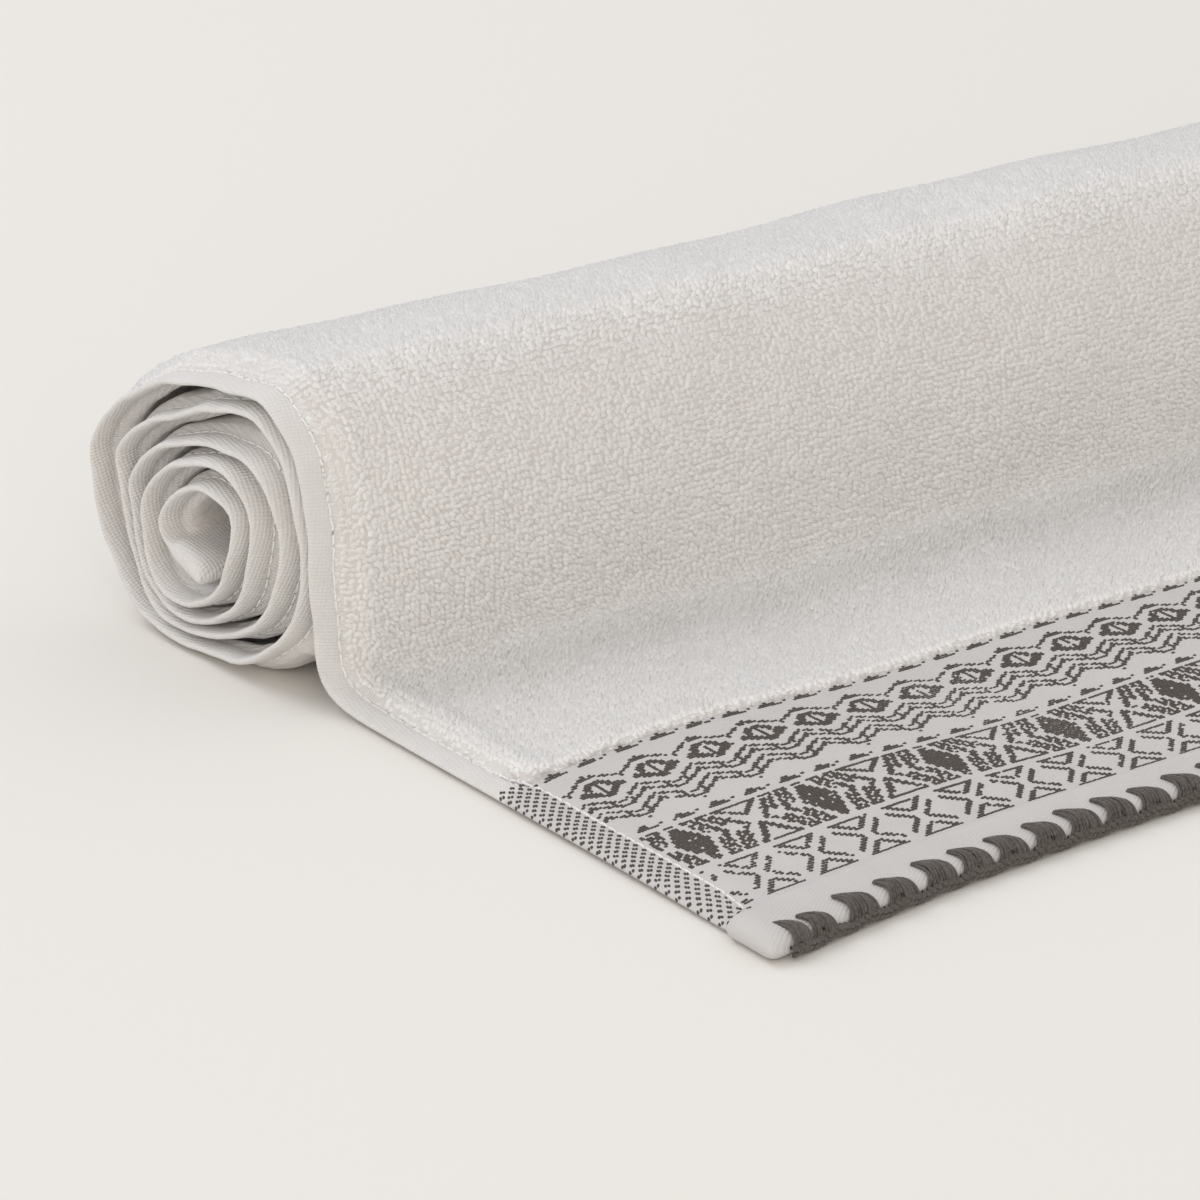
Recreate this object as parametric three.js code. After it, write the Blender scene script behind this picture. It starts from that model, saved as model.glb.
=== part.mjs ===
// A terry face towel, rolled up from its far end, with its last stretch pulled out flat toward -Y.
// Sizes are in mm. X runs along the roll, -Y is the loose end with the edging, Z is up.
import * as THREE from 'three';

// The cloth.
const WIDTH = 500;          // from side hem to side hem
const PILE = 4.2;           // thickness of the looped cloth
const BAND = 2.4;           // thickness of the flat-woven patterned band
const SIDE_HEM = 2.1;       // thickness of the side hems, which have no pile
const SIDE_HEM_WIDTH = 5.6;
const END_HEM = 4.6;        // thickness of the folded hem across each end
const END_HEM_DEPTH = 17;
const BAND_DEPTH = 66;      // of the patterned band, behind the end hem
const STEP = 2.5;           // over which one thickness turns into the next
const LAYER_GAP = 0.5;      // between two turns of the roll
const TURN_APART = 45;      // points this far apart along the cloth are on different turns
const FRONT_EDGE = -171.5;  // y of the loose end's edge
const FLAT_END = -49;       // y where the flat stretch turns up into the roll
const FULL_AFTER = 40;      // run over which the roll takes on its fullness, from there on

// The dark scalloped edging that wraps the edge of the loose end.
const SHELLS = 52;
const SHELL_THICK = 1.5;
const EDGING_GAP = 0.4;     // between the edging and the hem
// Degrees round the hem's nose, from straight down: the edging's foot, its valleys and its tips.
const SHELL_FOOT = 60;
const SHELL_LOW = 84;
const SHELL_HIGH = 150;
const SHELL_TIP = 0.3;      // place of the tip along its shell

// The way of the cloth's middle in a section across the roll. It runs level at a top or an under
// row and upright at a front or a back row. It holds that heading for about `before` mm ahead of
// the row and `after` mm past it. `drift` is how far the side hem lies along X there.
const PATH = [
  { side: 'flat', y: FRONT_EDGE, z: PILE / 2, before: 0, after: 40, drift: 8.5 },
  { side: 'flat', y: FLAT_END, z: PILE / 2, before: 40, after: 21, drift: 8 },
  { side: 'front', y: -32.8, z: 32, before: 25, after: 20, drift: 4 },
  { side: 'top', y: -16, z: 62.6, before: 7, after: 25, drift: 3 },
  { side: 'back', y: 44.6, z: 34, before: 16, after: 20, drift: 0.5 },
  { side: 'under', y: 11, z: 1.8, before: 26, after: 24, drift: 0.5 },
  { side: 'front', y: -30.1, z: 31, before: 19, after: 19, drift: 3.5 },
  { side: 'top', y: -14.5, z: 58.2, before: 6, after: 16, drift: 2.5 },
  { side: 'back', y: 34.4, z: 35, before: 10, after: 12, drift: 0.5 },
  { side: 'under', y: 14, z: 4.6, before: 16, after: 18, drift: 1 },
  { side: 'front', y: -23, z: 31, before: 16, after: 12, drift: 3 },
  { side: 'top', y: -7, z: 49.2, before: 10, after: 15, drift: 2 },
  { side: 'back', y: 30.7, z: 30, before: 9, after: 9, drift: 0.5 },
  { side: 'under', y: 12, z: 7.3, before: 14, after: 16, drift: 1 },
  { side: 'front', y: -14.2, z: 33, before: 12, after: 6, drift: 2 },
  { side: 'top', y: -4.4, z: 44.2, before: 6, after: 14, drift: 1 },
  { side: 'back', y: 24.8, z: 28.5, before: 8, after: 11, drift: 0 },
  { side: 'under', y: 13, z: 10.2, before: 8, after: 12, drift: 0.5 },
  { side: 'front', y: -8.8, z: 33.5, before: 9, after: 3.5, drift: 1 },
  { side: 'top', y: -0.8, z: 38.8, before: 4.5, after: 8, drift: 0.5 },
  { side: 'back', y: 17, z: 25.5, before: 7, after: 3, drift: 0 },
  { side: 'end', y: 3.2, z: 18.1, before: 9, after: 0, drift: 0 },
];
const HEADING = {
  flat: [1, 0], front: [0, 1], top: [1, 0], back: [0, -1], under: [-1, 0], end: [-0.97, -0.24],
};
// How many steps lead up to a row of each side.
const STEPS = { flat: 8, front: 8, top: 8, back: 9, under: 8, end: 6 };

// How full the roll is along X: its height and depth over those at its near end.
const FULLNESS = [
  { x: 0, full: 1 }, { x: 8, full: 1.018 }, { x: 22, full: 1.035 }, { x: 70, full: 1.018 },
  { x: 130, full: 1.014 }, { x: 200, full: 1.04 }, { x: 290, full: 1.03 }, { x: 380, full: 1.018 },
  { x: 470, full: 1.03 }, { x: 492, full: 1.018 }, { x: 500, full: 1 },
];
// Stations along X of a side hem: its rounded edge, its flat width and the rise of the pile.
const EDGE_ROUND = 0.7;
const EDGE_SHARE = 0.6;     // thickness of the very edge over the hem's
const HEM_STATIONS = [0, EDGE_ROUND, SIDE_HEM_WIDTH, SIDE_HEM_WIDTH + STEP];

// How far the near corner of the loose end is drawn forward, and the run over which that fades.
const CORNER = [{ x: 0, pull: 4 }, { x: 8.1, pull: 3 }, { x: 22, pull: 0.8 }, { x: 70, pull: 0 }];
const CORNER_RUN = 30;

// Thickness of an end hem, which rounds off at its nose, at a run from its edge.
const END_HEM_ROWS = [
  { run: 0, thick: END_HEM * 0.22 }, { run: 0.5, thick: END_HEM * 0.62 },
  { run: 1.2, thick: END_HEM * 0.88 }, { run: END_HEM / 2, thick: END_HEM },
  { run: END_HEM_DEPTH, thick: END_HEM },
];

const between = (rows, key, value, at) => {
  const next = rows.findIndex((row) => row[key] >= at);
  if (next < 1) return (next < 0 ? rows[rows.length - 1] : rows[0])[value];
  const a = rows[next - 1];
  const b = rows[next];
  return THREE.MathUtils.lerp(a[value], b[value], (at - a[key]) / (b[key] - a[key]));
};

// The points of the cloth's middle, each with its drift and its run along the cloth.
function middleLine() {
  const points = [];
  PATH.slice(1).forEach((to, k) => {
    const from = PATH[k];
    const start = new THREE.Vector2(from.y, from.z);
    const finish = new THREE.Vector2(to.y, to.z);
    const leave = new THREE.Vector2(...HEADING[from.side]).multiplyScalar(from.after).add(start);
    const arrive = new THREE.Vector2(...HEADING[to.side]).multiplyScalar(-to.before).add(finish);
    const curve = new THREE.CubicBezierCurve(start, leave, arrive, finish);
    const count = STEPS[to.side];
    for (let i = k === 0 ? 0 : 1; i <= count; i += 1) {
      const drift = THREE.MathUtils.lerp(from.drift, to.drift, i / count);
      const at = curve.getPoint(i / count);
      const last = points[points.length - 1];
      points.push({ at, drift, run: last ? last.run + last.at.distanceTo(at) : 0 });
    }
  });
  return points;
}

// The same points with one more wherever a row of the thickness table falls between two of them.
function withSteps(points, rows) {
  const near = 0.3;
  const added = rows.map(({ run }) => run).filter(
    (run) => points.every((point) => Math.abs(point.run - run) > near));
  added.forEach((run) => {
    const next = points.findIndex((point) => point.run > run);
    const a = points[next - 1];
    const b = points[next];
    const share = (run - a.run) / (b.run - a.run);
    const drift = THREE.MathUtils.lerp(a.drift, b.drift, share);
    points.splice(next, 0, { at: a.at.clone().lerp(b.at, share), drift, run });
  });
  return points;
}

// How far the nearest other turn lies on each side of every point.
function addRoom(points) {
  const spot = new THREE.Vector2();
  points.forEach((point, i) => {
    const a = points[Math.max(0, i - 1)].at;
    const b = points[Math.min(points.length - 1, i + 1)].at;
    const along = b.clone().sub(a).normalize();
    point.out = new THREE.Vector2(-along.y, along.x);
    point.roomOut = Infinity;
    point.roomIn = Infinity;
    for (let j = 1; j < points.length; j += 1) {
      if (Math.abs(points[j].run - point.run) < TURN_APART) continue;
      const from = points[j - 1].at;
      const way = points[j].at.clone().sub(from);
      const share = THREE.MathUtils.clamp(
        point.at.clone().sub(from).dot(way) / way.lengthSq(), 0, 1);
      spot.copy(from).addScaledVector(way, share).sub(point.at);
      const key = spot.dot(point.out) > 0 ? 'roomOut' : 'roomIn';
      point[key] = Math.min(point[key], spot.length());
    }
  });
  return points;
}

const MIDDLE = middleLine();
const LENGTH = MIDDLE[MIDDLE.length - 1].run;
const THICKNESS = [
  ...END_HEM_ROWS,
  { run: END_HEM_DEPTH + STEP, thick: BAND },
  { run: END_HEM_DEPTH + BAND_DEPTH, thick: BAND },
  { run: END_HEM_DEPTH + BAND_DEPTH + STEP, thick: PILE },
  { run: LENGTH - END_HEM_DEPTH - STEP, thick: PILE },
  ...END_HEM_ROWS.map(({ run, thick }) => ({ run: LENGTH - run, thick })).reverse(),
];
const POINTS = addRoom(withSteps(MIDDLE, THICKNESS));

// Thickness at a run along the cloth and a distance from the nearer side hem's edge.
function thickness(run, inward) {
  const full = between(THICKNESS, 'run', 'thick', run);
  const hem = Math.min(full, SIDE_HEM);
  if (inward < EDGE_ROUND) return hem * EDGE_SHARE;
  const share = (inward - SIDE_HEM_WIDTH) / STEP;
  return THREE.MathUtils.lerp(hem, full, THREE.MathUtils.clamp(share, 0, 1));
}

const cornerPull = (x) => -between(CORNER, 'x', 'pull', x);

// One point on a face of the cloth: side is 1 on the face that looks out of the roll.
function facePoint(point, x, side) {
  const room = side > 0 ? point.roomOut : point.roomIn;
  const thick = thickness(point.run, Math.min(x, WIDTH - x));
  const half = side * Math.min(thick, room - LAYER_GAP) / 2;
  const rolled = THREE.MathUtils.clamp((point.run - FLAT_END + FRONT_EDGE) / FULL_AFTER, 0, 1);
  const scale = THREE.MathUtils.lerp(1, between(FULLNESS, 'x', 'full', x), rolled);
  const pulled = THREE.MathUtils.clamp(1 - point.run / CORNER_RUN, 0, 1);
  const y = point.at.x * scale + half * point.out.x + pulled * cornerPull(x);
  const z = point.at.y * scale + half * point.out.y;
  return [x + point.drift, y, Math.max(0, z)];
}

function material(name, colour, roughness) {
  return new THREE.MeshStandardMaterial({ name, color: new THREE.Color(colour), roughness, metalness: 0 });
}

// A closed body from rings of the same count, each ring going round a section.
function bodyFromRings(rings, cap) {
  const count = rings[0].length;
  const index = [];
  rings.slice(1).forEach((ring, k) => {
    for (let i = 0; i < count; i += 1) {
      const a = k * count + i;
      const b = k * count + ((i + 1) % count);
      index.push(a, a + count, b, b, a + count, b + count);
    }
  });
  const last = (rings.length - 1) * count;
  cap.forEach(([a, b, c]) => {
    index.push(a, b, c, last + a, last + c, last + b);
  });
  const geometry = new THREE.BufferGeometry();
  geometry.setAttribute('position', new THREE.Float32BufferAttribute(rings.flat(2), 3));
  geometry.setIndex(index);
  return geometry;
}

// The cap of a strip whose ring runs up one face and back down the other.
function stripCap(length) {
  const cap = [];
  const count = 2 * length;
  for (let i = 0; i < length - 1; i += 1) {
    const far = count - 1 - i;
    cap.push([i, i + 1, far], [i + 1, far - 1, far]);
  }
  return cap;
}

function clothBody() {
  const pileStations = FULLNESS.map((row) => row.x).filter(
    (x) => Math.min(x, WIDTH - x) > SIDE_HEM_WIDTH + STEP);
  const farHem = HEM_STATIONS.map((x) => WIDTH - x).reverse();
  const rings = [...HEM_STATIONS, ...pileStations, ...farHem].map((x) => [
    ...POINTS.map((point) => facePoint(point, x, 1)),
    ...POINTS.map((point) => facePoint(point, x, -1)).reverse(),
  ]);
  return bodyFromRings(rings, stripCap(POINTS.length));
}

// How high a shell stands at a share of its length: a steep hollow side, a tip, a rounded fall.
function shellRise(share) {
  if (share < SHELL_TIP) return (share / SHELL_TIP) ** 1.6;
  return Math.cos(((share - SHELL_TIP) / (1 - SHELL_TIP)) * (Math.PI / 2)) ** 0.8;
}

// An arc round the hem's nose at one place along it, from the edging's foot up to an angle.
function noseArc(x, radius, top) {
  return [0, 0.34, 0.67, 1].map((turn) => {
    const angle = THREE.MathUtils.degToRad(THREE.MathUtils.lerp(SHELL_FOOT, top, turn));
    const y = FRONT_EDGE + END_HEM / 2 - radius * Math.sin(angle) + cornerPull(x);
    return [x + PATH[0].drift, y, PILE / 2 - radius * Math.cos(angle)];
  });
}

function edgingBody() {
  const skin = END_HEM / 2 + EDGING_GAP;
  const shares = [0, 0.16, SHELL_TIP, 0.52, 0.76];
  const rings = [];
  for (let i = 0; i <= SHELLS * shares.length; i += 1) {
    const share = shares[i % shares.length];
    const x = ((Math.floor(i / shares.length) + share) / SHELLS) * WIDTH;
    const top = THREE.MathUtils.lerp(SHELL_LOW, SHELL_HIGH, shellRise(share));
    rings.push([...noseArc(x, skin + SHELL_THICK, top), ...noseArc(x, skin, top).reverse()]);
  }
  return bodyFromRings(rings, stripCap(rings[0].length / 2));
}

function mesh(name, geometry, look) {
  geometry.computeVertexNormals();
  const made = new THREE.Mesh(geometry, look);
  made.name = name;
  return made;
}

function buildTowel() {
  const towel = new THREE.Group();
  towel.name = 'rolled_face_towel';
  towel.add(
    mesh('towel_cloth', clothBody(), material('white_terry', '#d2cfcd', 0.95)),
    mesh('scalloped_edging', edgingBody(), material('charcoal_yarn', '#4e4a48', 0.85)),
  );
  // The origin is the middle of the footprint, on the floor.
  const box = new THREE.Box3().setFromObject(towel);
  const middle = box.getCenter(new THREE.Vector3());
  towel.children.forEach((child) => child.geometry.translate(-middle.x, -middle.y, -box.min.z));
  return towel;
}

export default buildTowel();
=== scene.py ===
"""A terry face towel, rolled up, with its patterned band and scalloped edging pulled out flat.
Lengths are written in millimetres, as a weaver has them, and turned to metres when a mesh is made.
X runs along the roll, -Y is the loose end, Z is up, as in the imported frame. A run is the way along
the cloth from the edge of its loose end, and inward is the way in from its nearer side edge."""
import math

import bpy
import numpy as np
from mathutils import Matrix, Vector


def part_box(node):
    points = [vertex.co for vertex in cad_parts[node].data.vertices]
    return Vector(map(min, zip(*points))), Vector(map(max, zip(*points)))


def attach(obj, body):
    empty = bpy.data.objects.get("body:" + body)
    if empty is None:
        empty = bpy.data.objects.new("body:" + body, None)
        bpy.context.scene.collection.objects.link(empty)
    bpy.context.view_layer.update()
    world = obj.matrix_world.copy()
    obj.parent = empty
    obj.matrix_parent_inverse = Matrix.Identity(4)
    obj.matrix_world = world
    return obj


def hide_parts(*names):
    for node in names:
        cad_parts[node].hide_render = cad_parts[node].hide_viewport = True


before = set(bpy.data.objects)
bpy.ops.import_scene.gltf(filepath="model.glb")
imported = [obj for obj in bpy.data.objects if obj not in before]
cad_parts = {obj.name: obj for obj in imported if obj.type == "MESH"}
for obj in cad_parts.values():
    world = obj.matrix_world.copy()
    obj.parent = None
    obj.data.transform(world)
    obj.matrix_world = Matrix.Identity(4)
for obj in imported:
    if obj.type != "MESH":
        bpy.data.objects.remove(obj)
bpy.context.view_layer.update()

MM = 0.001
rng = np.random.default_rng(36)

# The cloth
WIDTH = 500.0
PILE = 4.2
BAND = 2.4
SIDE_HEM = 2.1
SIDE_HEM_WIDTH = 5.6
BAND_HEM_WIDTH = 8.6  # on the band the side hem spreads wider
BAND_HEM_RUNS = (4, 24, 74, 90)  # where it widens to that, and where it narrows again
END_HEM = 4.6
END_HEM_DEPTH = 12.8
BAND_DEPTH = 71.3
BAND_END = END_HEM_DEPTH + BAND_DEPTH
BAND_STEP = 1.6  # the way over which the band rises to the pile
HEM_STEP = 2.5  # the way over which the side hem rises to the band's ground
PILE_STEEPER = 1.4  # that way is shorter by this beside the pile
LAYER_GAP = 0.5  # between two turns of the roll
TURN_APART = 45.0  # two places this far apart along the cloth lie on different turns
FRONT_EDGE = -171.5
FLAT_END = -49.0
FULL_AFTER = 40.0  # the roll has its full shape this far after the flat part

# Where the cloth's middle runs in a section across the roll: side, y, z, how far it holds its heading
# before and after that place, and where the cloth's side edge lies along X there
PATH = [
    ("flat", FRONT_EDGE, PILE / 2, 0, 40, 8.5),
    ("flat", FLAT_END, PILE / 2, 40, 21, 8),
    ("front", -32.8, 32, 25, 20, 4),
    ("top", -16, 62.6, 7, 25, 3),
    ("back", 44.6, 34, 16, 20, 0.5),
    ("under", 11, 1.8, 26, 24, 0.5),
    ("front", -30.1, 31, 19, 19, 3.5),
    ("top", -14.5, 58.2, 6, 16, 2.5),
    ("back", 34.4, 35, 10, 12, 0.5),
    ("under", 14, 4.6, 16, 18, 1),
    ("front", -23, 31, 16, 12, 3),
    ("top", -7, 49.2, 10, 15, 2),
    ("back", 30.7, 30, 9, 9, 0.5),
    ("under", 12, 7.3, 14, 16, 1),
    ("front", -14.2, 33, 12, 6, 2),
    ("top", -4.4, 44.2, 6, 14, 1),
    ("back", 24.8, 28.5, 8, 11, 0),
    ("under", 13, 10.2, 8, 12, 0.5),
    ("front", -8.8, 33.5, 9, 3.5, 1),
    ("top", -0.8, 38.8, 4.5, 8, 0.5),
    ("back", 17, 25.5, 7, 3, 0),
    ("end", 3.2, 18.1, 9, 0, 0),
]
HEADING = {"flat": (1, 0), "front": (0, 1), "top": (1, 0), "back": (0, -1), "under": (-1, 0),
           "end": (-0.97, -0.24)}
LINE_STEP = 0.5
# How full the roll is along X
FULLNESS = [(0, 1), (8, 1.018), (22, 1.035), (70, 1.018), (130, 1.014), (200, 1.04), (290, 1.03),
            (380, 1.018), (470, 1.03), (492, 1.018), (500, 1)]
# The outer turn's face is uneven and stands fuller behind its near hem, and the hems stray from their line
SWAY = 0.45
PUFF = 1.9
PUFF_FROM = 5.2
PUFF_FULL = 12.5
PUFF_FADE = 130.0
HEM_WAVER = 0.65
# How far the near corner of the loose end is drawn forward
CORNER = [(0, 7.5), (8, 6), (22, 4), (32, 3), (45, 1.5), (60, 0.9), (80, 0.2), (100, 0)]
CORNER_RUN = 30.0
SOLID_PULL = 4.0  # as far as the same corner of the solid
# How high the flat part stands off the floor along X, in ripples that lie aslant
RIPPLE = [(0, 0.3), (5, 0.5), (18, 1.0), (32, 1.5), (46, 1.95), (54, 1.95), (64, 1.5), (72, 1.0), (84, 0.5),
          (97, 0), (110, 0.3), (125, 0.7), (140, 1.0), (180, 0.4), (240, 1.2), (310, 0.3), (380, 1.1),
          (450, 0.5), (500, 0.3)]
RIPPLE_SLANT = 0.33
RIPPLE_RUN = 80.0  # the run at which the table holds
# How far the weft bows forward beside the hems where the band meets the pile
BOW = 5.5
BOW_WIDTH = 14.0
BOW_RUNS = (45, 80, 88, 118)  # where the bow grows to that, and where it fades again

# The stuffed end of the end hem at the corners: its length and rounding, how far it stands out past the
# side edge, how much thicker it is and how much less deep
LUMP_LONG = 9.0
LUMP_ROUND = 3.2
LUMP_OUT = 1.8
LUMP_PUFF = 1.5
LUMP_SHORT = 0.8

# The side hem: its folded edge, the groove of its seam and the pile that swells beside it
EDGE_ROUND = 1.3
SEAM_IN = 0.4  # from the inner side of the hem
SEAM_DEEP = 0.1
SWELL_AT = 9.5
SWELL_SPREAD = 3.2
SWELL = 1.2

# The loops of the pile
LOOP_PITCH = 1.24
LOOP_LONG = 2.0
LOOP_WIDE = 1.2
LOOP_SINK = 1.15  # the ground of the pile lies this far below its face
LOOPS_FROM = BAND_END - 1.9
LOOPS_TO = 302.0  # where the outer turn meets the floor behind
LOOPS_IN = 5.9

# Inside the roll the pile swells until the turns touch: how far in from the side it starts and is full,
# in how wide a room it still fills, and for how long a run the inmost turn leaves the core open
FILL_FROM = 5.8
FILL_FULL = 10.0
FILL_ROOM = 13.0
CORE_OPEN = 140.0


def smoothstep(low, high, value):
    share = np.clip((value - low) / (high - low), 0, 1)
    return share * share * (3 - 2 * share)


def hump(middle, spread, value):
    return np.exp(-((value - middle) / spread) ** 2)


def evened(values, count):
    """A running average over an odd count of values, with the ends held."""
    padded = np.pad(values, count // 2, mode="edge")
    return np.convolve(padded, np.ones(count) / count, mode="valid")


def lay_line():
    """The cloth's middle, every half millimetre along it, with the room to the turns on each side."""
    share = np.linspace(0, 1, 300)[:, None]
    spots = []
    drifts = []
    for (side, y, z, _, after, drift), (to, to_y, to_z, before, _, to_drift) in zip(PATH, PATH[1:]):
        start = np.array((y, z))
        finish = np.array((to_y, to_z))
        leave = start + after * np.array(HEADING[side])
        arrive = finish - before * np.array(HEADING[to])
        back = 1 - share
        spots.append(start * back ** 3 + 3 * leave * back ** 2 * share
                     + 3 * arrive * back * share ** 2 + finish * share ** 3)
        drifts.append(drift + (to_drift - drift) * smoothstep(0, 1, share[:, 0]))
    spot = np.concatenate(spots)
    drift = np.concatenate(drifts)
    moved = np.r_[0, np.cumsum(np.linalg.norm(np.diff(spot, axis=0), axis=1))]
    run = np.arange(0, moved[-1], LINE_STEP)
    y = np.interp(run, moved, spot[:, 0])
    z = np.interp(run, moved, spot[:, 1])
    along = np.stack([np.gradient(y), np.gradient(z)], 1)
    along /= np.linalg.norm(along, axis=1)[:, None]
    out = np.stack([-along[:, 1], along[:, 0]], 1)
    way = np.stack([y[None] - y[:, None], z[None] - z[:, None]], -1)
    far = np.linalg.norm(way, axis=-1)
    outward = (way * out[:, None]).sum(-1) > 0
    other = np.abs(run[None] - run[:, None]) > TURN_APART
    line = {"run": run, "y": y, "z": z, "out_y": out[:, 0], "out_z": out[:, 1],
            "drift": np.interp(run, moved, drift)}
    for name, there in (("room_out", outward), ("room_in", ~outward)):
        room = np.where(there & other, far, 60).min(1)
        line[name] = evened(np.minimum(room, 60), 9)
    return line


LINE = lay_line()
LENGTH = LINE["run"][-1]
ALONG_X = np.arange(0, WIDTH + 1)
FULL_ALONG = evened(np.interp(ALONG_X, *zip(*FULLNESS)), 13)
PULL_ALONG = evened(np.interp(ALONG_X, *zip(*CORNER)), 5)
RIPPLE_ALONG = evened(np.interp(ALONG_X, *zip(*RIPPLE)), 21)

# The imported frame's origin is the middle of the footprint: the cloth's lowest corner gives the shift
cloth_low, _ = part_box("towel_cloth")
ORIGIN = np.array((cloth_low.x / MM, cloth_low.y / MM - FRONT_EDGE + SOLID_PULL, 0))


def rounded(inward, radius):
    """Thickness share at a distance in from a rounded edge."""
    return np.sqrt(1 - (1 - np.clip(inward / radius, 0, 1)) ** 2)


def bow(run, inward):
    """How far forward the weft lies of its straight line."""
    grow, full, fade, gone = BOW_RUNS
    near_pile = smoothstep(grow, full, run) * (1 - smoothstep(fade, gone, run))
    return BOW * np.exp(-inward / BOW_WIDTH) * near_pile


def on_band(run, inward):
    """1 on the flat-woven band and its end hem, 0 on the pile."""
    return 1 - smoothstep(BAND_END - BAND_STEP, BAND_END, run + bow(run, inward))


def hem_width(run):
    """Width of the side hem, which spreads where the band has no pile to hold it."""
    widen, wide, narrow, narrowed = BAND_HEM_RUNS
    spread = smoothstep(widen, wide, run) * (1 - smoothstep(narrow, narrowed, run))
    return SIDE_HEM_WIDTH + (BAND_HEM_WIDTH - SIDE_HEM_WIDTH) * spread


def cloth_thickness(run, inward):
    """Thickness of the cloth where it isn't pressed by the turns beside it."""
    from_end = np.minimum(run, LENGTH - run)
    corner = np.clip(1 - inward / LUMP_LONG, 0, 1)
    depth = END_HEM_DEPTH - LUMP_SHORT * corner
    end_hem = 1 - smoothstep(depth - 1.5, depth + 2.5 - 1.8 * corner, from_end)
    band = on_band(run, inward)
    main = PILE + (BAND - PILE) * band
    swell = SWELL * hump(SWELL_AT, SWELL_SPREAD, inward) * (1 - band)
    width = hem_width(run)
    rise = smoothstep(width - 0.2, width + HEM_STEP - PILE_STEEPER * (1 - band), inward)
    edge = SIDE_HEM * (0.7 + 0.3 * smoothstep(0.6, 3.2, inward))  # thinner towards its fold
    body = edge + (main + swell - edge) * rise
    body = body * rounded(inward, EDGE_ROUND) - 2 * SEAM_DEEP * hump(width - SEAM_IN, 0.5, inward)
    lump = 1 + LUMP_PUFF / END_HEM * corner * np.sin(np.pi * np.clip(from_end / END_HEM_DEPTH, 0, 1))
    hem = END_HEM * lump * rounded(inward, LUMP_ROUND)
    return (body + (hem - body) * end_hem) * rounded(from_end, END_HEM / 2)


def waver(run, seed):
    """Between about -1 and 1: how a soft folded edge strays along its way."""
    return (0.6 * np.sin(run / 6.1 + seed) + 0.28 * np.sin(run / 2.9 + 2.1 * seed)
            + 0.12 * np.sin(run / 1.45 + 3.7 * seed))


def ripple(run, x):
    """How high the flat part stands off the floor."""
    aslant = x - RIPPLE_SLANT * np.maximum(RIPPLE_RUN - run, 0)
    return np.interp(aslant, ALONG_X, RIPPLE_ALONG) * smoothstep(2, 40, run)


def sunk(run, inward):
    """How far the middle of the thinner flat cloth lies below that of the pile, so that it rests."""
    thick = cloth_thickness(np.maximum(run, END_HEM / 2), np.maximum(inward, LUMP_ROUND))
    return (PILE - thick) / 2


def fill_share(run, inward, room, side):
    """How much of the room to the turn beside it the pile takes up."""
    start = 1.5 * waver(run / 1.8, 0.9 + side)
    fill = smoothstep(FILL_FROM + start, FILL_FULL + start, inward)
    fill = fill * (1 - smoothstep(FILL_ROOM - 3, FILL_ROOM, room))
    if side < 0:
        fill = fill * (1 - smoothstep(LENGTH - CORE_OPEN, LENGTH - CORE_OPEN + 20, run))
    return fill


def outer_sway(run, x, inward, free):
    """How far the face of the outer turn stands out of its even round: free is 1 on that turn."""
    sway = SWAY * free * smoothstep(10, 40, inward) * (
        1 + np.sin(x / 23 + run / 61) * np.sin(run / 17 + 1.3) + 0.6 * np.sin(x / 9.1 - run / 13))
    return sway + PUFF * free * smoothstep(PUFF_FROM, PUFF_FULL, inward) * np.exp(-x / PUFF_FADE)


def cloth_point(run, x, side, lift=0.0):
    """Points on a face of the cloth, in metres: side is 1 on the face that looks out of the roll."""
    run, x, lift = np.broadcast_arrays(np.asarray(run, float), x, lift)
    at = {name: np.interp(run, LINE["run"], values) for name, values in LINE.items()}
    inward = np.minimum(x, WIDTH - x)
    room = at["room_out"] if side > 0 else at["room_in"]
    thick = np.minimum(cloth_thickness(run, inward), room - LAYER_GAP)
    thick = thick + np.maximum(room - LAYER_GAP - thick, 0) * fill_share(run, inward, room, side)
    half = side * (np.maximum(thick, 0) / 2 + lift)
    rolled = smoothstep(0, 1, (run - FLAT_END + FRONT_EDGE) / FULL_AFTER)
    scale = 1 + (np.interp(x, ALONG_X, FULL_ALONG) - 1) * rolled
    free = smoothstep(8, 20, at["room_out"]) * rolled
    sway = outer_sway(run, x, inward, free)
    hem = 1 - smoothstep(SIDE_HEM_WIDTH, SIDE_HEM_WIDTH * 3, inward)
    tight = np.minimum(1, (np.minimum(at["room_out"], at["room_in"]) - SIDE_HEM) / 2.6)
    seed = np.where(x < WIDTH / 2, 0.4, 1.9)
    sway = sway + HEM_WAVER * rolled * hem * np.maximum(tight, 0) * waver(run, seed)
    strayed = 0.9 * HEM_WAVER * rolled * hem * waver(run, seed + 2.3)
    pulled = np.clip(1 - run / CORNER_RUN, 0, 1) * np.interp(x, ALONG_X, PULL_ALONG)
    corner = np.clip(1 - x / LUMP_LONG, 0, 1)
    lump_depth = END_HEM_DEPTH - LUMP_SHORT
    lump = (1 - smoothstep(lump_depth - 1.2, lump_depth + 0.4, run)) * corner
    y = at["y"] * scale + (half + sway) * at["out_y"] - pulled
    z = at["z"] * scale + (half + sway) * at["out_z"] + (ripple(run, x) - sunk(run, inward)) * (1 - rolled)
    spot = np.stack([x + at["drift"] + strayed - LUMP_OUT * lump, y, np.maximum(z, 0)], -1)
    return (spot + ORIGIN) * MM


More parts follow.
